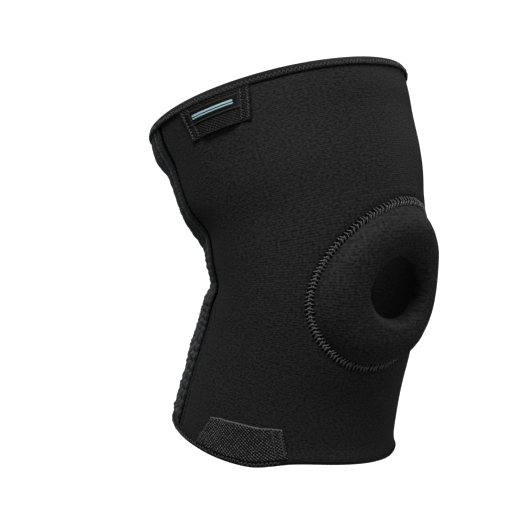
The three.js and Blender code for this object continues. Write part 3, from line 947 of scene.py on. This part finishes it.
def hem_stitches(name, end, near, far):
    """A zigzag round a binding, between two distances inside the edge, where it isn't under it."""
    at, _ = hem_angles(end)
    draws = np.random.default_rng(61 + end)
    first, second = at[0::2], at[1::2]
    near = near + draws.uniform(-0.35, 0.35, len(first))
    far = far + draws.uniform(-0.35, 0.35, len(second))
    inside = np.stack([first, edge_along(end, first) - end * near], -1)
    outside = np.stack([second, edge_along(end, second) - end * far], -1)
    start, finish = zigzag(inside, outside)
    shown = (end > 0) | (turned_under(start[:, 0]) < 0.3)
    start, finish = start[shown], finish[shown]
    level = CLEARANCE + BINDING_THICKNESS - draws.uniform(-0.1, 0.35, len(start))
    ends = level, level
    dress(stitches(name, start, finish, ends, hem_thread, HEM_THREAD), "binding_tape")


def top_tape_height(angle):
    return TOP_BINDING_HEIGHT + 0.25 * noise(angle / 11, 0, 31)


def bottom_tape_height(angle):
    """The bottom tape is turned under at the front and higher behind the lower tab."""
    tucked = BOTTOM_TAPE_TUCK * turned_under(angle)
    grown = BOTTOM_TAPE_GROWTH * smoothstep(*GROWTH_ANGLES, angle)
    return BOTTOM_BINDING_HEIGHT - tucked + grown + 0.2 * noise(angle / 11, 0, 32)


# The pull tabs and the label
def patch_scale(tab):
    """Degrees for each millimetre across the patch, at its middle."""
    middle = edge_along(tab["end"], tab["angle"]) - tab["end"] * (tab["from"] + tab["height"] / 2)
    step = face_point(tab["angle"] + 1, middle) - face_point(tab["angle"], middle)
    return 1 / np.linalg.norm(step)


def patch_half(tab, down):
    share = np.clip(down / tab["height"], 0, 1)
    return (tab["width"] + (tab["free_width"] - tab["width"]) * share) / 2


def patch_place(tab, across, down):
    """The place at a share across a patch, from -1 to 1, and a distance from its sewn edge.

    The lower tab's free edge is pulled straight, where the hem below it bends.
    """
    angle = tab["angle"] + patch_half(tab, down) * across * patch_scale(tab)
    crown = LOWER_TAB_CROWN * (1 - across**2) * down / tab["height"] if tab is LOWER_TAB else 0
    return angle, edge_along(tab["end"], angle) - tab["end"] * (tab["from"] + down + crown)


def tab_lift(tab, angle, along):
    """How far a tab stands off its flat place. Its free edge stands away between its sewn ends."""
    down = tab["end"] * (edge_along(tab["end"], angle) - along) - tab["from"]
    half = patch_half(tab, down)
    from_end = half - np.abs(angle - tab["angle"]) / patch_scale(tab)
    free = smoothstep(TAB_STRIP, TAB_STRIP + 9, from_end) * np.clip(down / tab["height"], 0, 1) ** 1.6
    crease = 0.8 * bell(from_end - TAB_STRIP, 0.9)
    end = 0.6 * bell(from_end, 2.0)
    return TAB_OPEN * free - crease + end + 0.15 * noise(angle / 4, along / 7, 41)


def pull_tab(name, tab, material, slot, node):
    share = np.linspace(-1, 1, 200)
    down, depth = sheet_section(tab["height"], TAB_THICKNESS, 0.6, steps=60)
    across, down = np.broadcast_arrays(share[:, None], down)
    angle, along = patch_place(tab, across, down)
    from_end = patch_half(tab, down) * (1 - np.abs(across))
    rounding = np.sqrt(1 - np.clip(1 - from_end / 0.7, 0, 1) ** 2)
    thick = TAB_THICKNESS / 2 + (TAB_THICKNESS / 2 - depth) * (0.35 + 0.65 * rounding)
    height = CLEARANCE + thick + tab_lift(tab, angle, along)
    height = np.maximum(height, CLEARANCE / 2)
    uv = np.stack([patch_half(tab, down) * across, tab["end"] * -down], -1)
    made = swept(name, off_face(angle, along, height), uv, material, False)
    dress(made, slot, node)


def woven_label():
    share = np.linspace(-1, 1, 140)
    down, depth = sheet_section(LABEL["height"], LABEL_THICKNESS, 0.25, steps=36)
    across, down = np.broadcast_arrays(share[:, None], down)
    angle, along = patch_place(LABEL, across, down)
    level = 2 * CLEARANCE + TAB_THICKNESS + LABEL_THICKNESS - depth
    height = level + tab_lift(UPPER_TAB, angle, along)
    uv = np.stack([patch_half(LABEL, down) * across, LABEL["height"] / 2 - down], -1)
    made = swept("woven_label", off_face(angle, along, height), uv, label_weave, False)
    dress(made, "label_weave", "label")


def tab_stitches(tab_name, tab, slot):
    """Zigzag rows down both ends of a tab."""

    def place(across, down):
        return patch_place(tab, across, down)

    def level(holes):
        return CLEARANCE + TAB_THICKNESS + tab_lift(tab, *place(holes[:, 0], holes[:, 1]))

    down = np.arange(1.2, tab["height"] - 1.2, TAB_PITCH)
    half = patch_half(tab, down)
    zig = np.where(np.arange(len(down)) % 2 == 0, -TAB_REACH, TAB_REACH)
    for side_name, side in (("left", -1), ("right", 1)):
        rows = [np.stack([side * (1 - (inset + zig) / half), down], -1) for inset in TAB_ROWS]
        start = np.concatenate([holes[:-1] for holes in rows])
        end = np.concatenate([holes[1:] for holes in rows])
        heights = level(start), level(end)
        name = f"{tab_name}_stitches_{side_name}"
        dress(stitches(name, start, end, heights, webbing_thread, TAB_THREAD, place), slot)


neoprene_shell()
kneecap_cushion()
joint_stitches()
joint_shade_threads()
gathered_panel()
seam_groove_shade()
folded_tape("top_tape", 1, top_tape_height, "top_binding")
folded_tape("bottom_tape", -1, bottom_tape_height, "bottom_binding")
hem_stitches("top_hem_stitches", 1, near=1.6, far=4.6)
hem_stitches("bottom_hem_stitches", -1, near=0.9, far=2.9)
pull_tab("upper_tab_webbing", UPPER_TAB, upper_webbing, "upper_webbing", "upper_pull_tab")
pull_tab("lower_tab_webbing", LOWER_TAB, lower_webbing, "lower_webbing", "lower_pull_tab")
woven_label()
tab_stitches("upper_tab", UPPER_TAB, "upper_webbing")
tab_stitches("lower_tab", LOWER_TAB, "lower_webbing")


# The camera, at the photograph's angle to the sleeve
CAMERA_TURN = math.radians(-45)
CAMERA_RISE = math.radians(2.5)
CAMERA_DISTANCE = 1.8
CAMERA_ASIDE = -0.0367
CAMERA_UP = 0.017
SENSOR = 36
PHOTO_PIXELS = 524
PIXEL_SIZE = 0.68 * MM


def photo_camera():
    back = Vector((
        math.sin(CAMERA_TURN) * math.cos(CAMERA_RISE),
        -math.cos(CAMERA_TURN) * math.cos(CAMERA_RISE),
        math.sin(CAMERA_RISE),
    ))
    right = Vector((math.cos(CAMERA_TURN), math.sin(CAMERA_TURN), 0))
    up = back.cross(right)
    data = bpy.data.cameras.new("photo_camera")
    data.sensor_width = SENSOR
    data.lens = SENSOR * CAMERA_DISTANCE / (PHOTO_PIXELS * PIXEL_SIZE)
    data.clip_start, data.clip_end = 0.1, 50
    camera = bpy.data.objects.new("photo_camera", data)
    place = back * CAMERA_DISTANCE + right * CAMERA_ASIDE + up * CAMERA_UP
    camera.matrix_world = Matrix.Translation(place) @ Matrix((right, up, back)).transposed().to_4x4()
    bpy.context.scene.collection.objects.link(camera)
    bpy.context.scene.camera = camera
    return back, right, up


# A pale floor that curves up into a round wall. It shows white and sends little light back, as a
# backdrop does that is lit apart from the object, and lies low, clear of the light from below.
FLOOR_Z = -1.3
FLOOR_MIDDLE = 0.4
FLOOR_RADIUS = 4.0
FLOOR_SIDES = 96
WALL_CURVE = 1.5
WALL_TOP = 4.0
FLOOR_GLOW = 1.0
FLOOR_RETURN = 0.2

# Soft lights: how far they are towards the camera, to its right and up, their size, in metres,
# and their watts
LIGHTS = {
    "key_light": (1.3, -0.5, 1.8, 0.9, 67),
    "fill_light": (1.4, -1.4, 0.1, 1.2, 7),
    "rim_light": (-0.5, 1.6, 1.0, 0.8, 10),
    "low_light": (1.1, 1.6, -0.7, 1.0, 12),
}
SKY_LIGHT = 0.5


def floor_material():
    material = bpy.data.materials.new("pale_floor")
    material.use_nodes = True
    nodes, links = material.node_tree.nodes, material.node_tree.links
    seen = nodes["Principled BSDF"]
    set_inputs(seen, {"Base Color": grey(0.86), "Roughness": 0.9, "Specular IOR Level": 0.1})
    set_inputs(seen, {"Emission Color": grey(1.0), "Emission Strength": FLOOR_GLOW})
    dim = nodes.new("ShaderNodeBsdfDiffuse")
    set_inputs(dim, {"Color": grey(FLOOR_RETURN)})
    mix = nodes.new("ShaderNodeMixShader")
    links.new(nodes.new("ShaderNodeLightPath").outputs["Is Camera Ray"], mix.inputs[0])
    links.new(dim.outputs["BSDF"], mix.inputs[1])
    links.new(seen.outputs["BSDF"], mix.inputs[2])
    links.new(mix.outputs["Shader"], nodes["Material Output"].inputs["Surface"])
    return material


def pale_floor():
    curve = np.linspace(0, math.pi / 2, 12)
    walls = FLOOR_RADIUS + WALL_CURVE * np.sin(curve[1:])
    radii = np.concatenate([[FLOOR_MIDDLE, FLOOR_RADIUS], walls])
    heights = np.concatenate([[0, 0], WALL_CURVE * (1 - np.cos(curve[1:]))]) + FLOOR_Z
    radii, heights = np.append(radii, radii[-1]), np.append(heights, WALL_TOP)
    turns = 2 * math.pi * np.arange(FLOOR_SIDES) / FLOOR_SIDES
    rings = np.stack([
        np.outer(radii, np.cos(turns)),
        np.outer(radii, np.sin(turns)),
        np.repeat(heights[:, None], FLOOR_SIDES, 1),
    ], -1)
    vertices = [(0, 0, FLOOR_Z)] + [tuple(p) for p in rings.reshape(-1, 3)]
    faces = [(0, 1 + k, 1 + (k + 1) % FLOOR_SIDES) for k in range(FLOOR_SIDES)]
    at_ring, at_side = grid_corners(len(radii) - 1, FLOOR_SIDES)
    faces.extend((1 + at_ring * FLOOR_SIDES + at_side % FLOOR_SIDES).tolist())
    mesh = bpy.data.meshes.new("pale_floor")
    mesh.from_pydata(vertices, [], faces)
    mesh.shade_smooth()
    mesh.materials.append(floor_material())
    floor = bpy.data.objects.new("pale_floor", mesh)
    bpy.context.scene.collection.objects.link(floor)


def soft_light(name, place, size, watts):
    data = bpy.data.lights.new(name, "AREA")
    data.shape = "DISK"
    data.size = size
    data.energy = watts
    light = bpy.data.objects.new(name, data)
    light.location = place
    light.rotation_euler = (-place).to_track_quat("-Z", "Y").to_euler()
    bpy.context.scene.collection.objects.link(light)


back, right, up = photo_camera()
pale_floor()
for name, (backward, aside, upward, size, watts) in LIGHTS.items():
    soft_light(name, back * backward + right * aside + up * upward, size, watts)
world = bpy.data.worlds.new("studio")
world.use_nodes = True
set_inputs(world.node_tree.nodes["Background"], {"Color": grey(1.0), "Strength": SKY_LIGHT})
bpy.context.scene.world = world
bpy.context.scene.view_settings.view_transform = "Standard"
